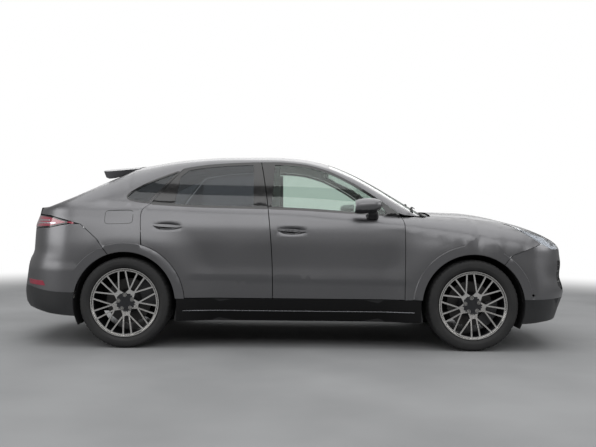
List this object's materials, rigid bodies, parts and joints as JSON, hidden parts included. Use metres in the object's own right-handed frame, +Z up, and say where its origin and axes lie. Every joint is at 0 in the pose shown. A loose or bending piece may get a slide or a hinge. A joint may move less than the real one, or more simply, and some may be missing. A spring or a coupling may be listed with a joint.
{
  "type": "sport utility vehicle",
  "caption": "Coupe sport utility vehicle with a sloping roof, hinged doors, bonnet and tailgate, steering front wheels and lattice alloy rims.",
  "frame": {"origin": "on the ground under the middle of the vehicle's box", "axes": "+X forward, +Y to the vehicle's left, +Z up"},
  "size_m": [4.931, 2.192, 1.662],
  "materials": {
    "car_paint": "metallic dark grey with clear coat",
    "black_trim": "black, grained",
    "tinted_glass": "dark tinted",
    "clear_glass": "slightly green",
    "red_lens": "red lens",
    "clear_lens": "clear lens",
    "machined_alloy": "machined",
    "tyre_rubber": "black rubber",
    "steel": "bare",
    "dark_leather": "black leather"
  },
  "bodies": {
    "shell": {"body_side_left": "car_paint", "body_side_right": "car_paint", "dashboard": "black_trim", "engine": "black_trim", "exhaust": "steel", "floor_pan": "black_trim", "front_axle": "black_trim", "front_bumper": "car_paint", "front_seat_left": "dark_leather", "front_seat_right": "dark_leather", "grille": "black_trim", "headlamp_left": "clear_lens", "headlamp_right": "clear_lens", "quarter_glass_left": "tinted_glass", "quarter_glass_right": "tinted_glass", "rear_axle": "black_trim", "rear_bench": "dark_leather", "rear_bumper": "car_paint", "rear_valance": "black_trim", "roof": "car_paint", "scuttle": "black_trim", "tail_lamp_left": "red_lens", "tail_lamp_right": "red_lens", "windscreen": "clear_glass", "wing_left": "car_paint", "wing_right": "car_paint"},
    "steering_knuckle_left": {"knuckle_left": "black_trim"},
    "wheel_front_left": {"rim_front_left": "machined_alloy", "tyre_front_left": "tyre_rubber"},
    "wheel_rear_left": {"rim_rear_left": "machined_alloy", "tyre_rear_left": "tyre_rubber"},
    "front_door_left": {"door_front_left": "car_paint", "glass_front_left": "tinted_glass", "mirror_left": "car_paint"},
    "rear_door_left": {"door_rear_left": "car_paint", "glass_rear_left": "tinted_glass"},
    "steering_knuckle_right": {"knuckle_right": "black_trim"},
    "wheel_front_right": {"rim_front_right": "machined_alloy", "tyre_front_right": "tyre_rubber"},
    "wheel_rear_right": {"rim_rear_right": "machined_alloy", "tyre_rear_right": "tyre_rubber"},
    "front_door_right": {"door_front_right": "car_paint", "glass_front_right": "tinted_glass", "mirror_right": "car_paint"},
    "rear_door_right": {"door_rear_right": "car_paint", "glass_rear_right": "tinted_glass"},
    "bonnet_lid": {"bonnet": "car_paint"},
    "tailgate": {"liftgate": "car_paint", "rear_glass": "tinted_glass"}
  },
  "joints": [
    {"name": "steer_left", "type": "hinge", "parent": "shell", "child": "steering_knuckle_left", "pos_m": [1.4955, 0.84, 0.38], "axis": [0, 0, 1], "range_deg": [-32, 32]},
    {"name": "spin_front_left", "type": "hinge", "parent": "steering_knuckle_left", "child": "wheel_front_left", "pos_m": [1.4955, 0.84, 0.38], "axis": [0, 1, 0], "continuous": true},
    {"name": "spin_rear_left", "type": "hinge", "parent": "shell", "child": "wheel_rear_left", "pos_m": [-1.3995, 0.8275, 0.377], "axis": [0, 1, 0], "continuous": true},
    {"name": "open_front_door_left", "type": "hinge", "parent": "shell", "child": "front_door_left", "pos_m": [0.87, 0.95, 0.7479], "axis": [0, 0, -1], "range_deg": [0, 65]},
    {"name": "open_rear_door_left", "type": "hinge", "parent": "shell", "child": "rear_door_left", "pos_m": [-0.25, 0.93, 0.7479], "axis": [0, 0, -1], "range_deg": [0, 65]},
    {"name": "steer_right", "type": "hinge", "parent": "shell", "child": "steering_knuckle_right", "pos_m": [1.4955, -0.84, 0.38], "axis": [0, 0, 1], "range_deg": [-32, 32]},
    {"name": "spin_front_right", "type": "hinge", "parent": "steering_knuckle_right", "child": "wheel_front_right", "pos_m": [1.4955, -0.84, 0.38], "axis": [0, 1, 0], "continuous": true},
    {"name": "spin_rear_right", "type": "hinge", "parent": "shell", "child": "wheel_rear_right", "pos_m": [-1.3995, -0.8275, 0.377], "axis": [0, 1, 0], "continuous": true},
    {"name": "open_front_door_right", "type": "hinge", "parent": "shell", "child": "front_door_right", "pos_m": [0.87, -0.95, 0.7479], "axis": [0, 0, 1], "range_deg": [0, 65]},
    {"name": "open_rear_door_right", "type": "hinge", "parent": "shell", "child": "rear_door_right", "pos_m": [-0.25, -0.93, 0.7479], "axis": [0, 0, 1], "range_deg": [0, 65]},
    {"name": "open_bonnet", "type": "hinge", "parent": "shell", "child": "bonnet_lid", "pos_m": [1.176, 0, 1.16447], "axis": [0, -1, 0], "range_deg": [0, 55]},
    {"name": "open_tailgate", "type": "hinge", "parent": "shell", "child": "tailgate", "pos_m": [-1.3668, 0, 1.56639], "axis": [0, 1, 0], "range_deg": [0, 65]}
  ],
  "couplings": [
    {"joint": "steer_right", "follows": "steer_left", "ratio": 1}
  ]
}
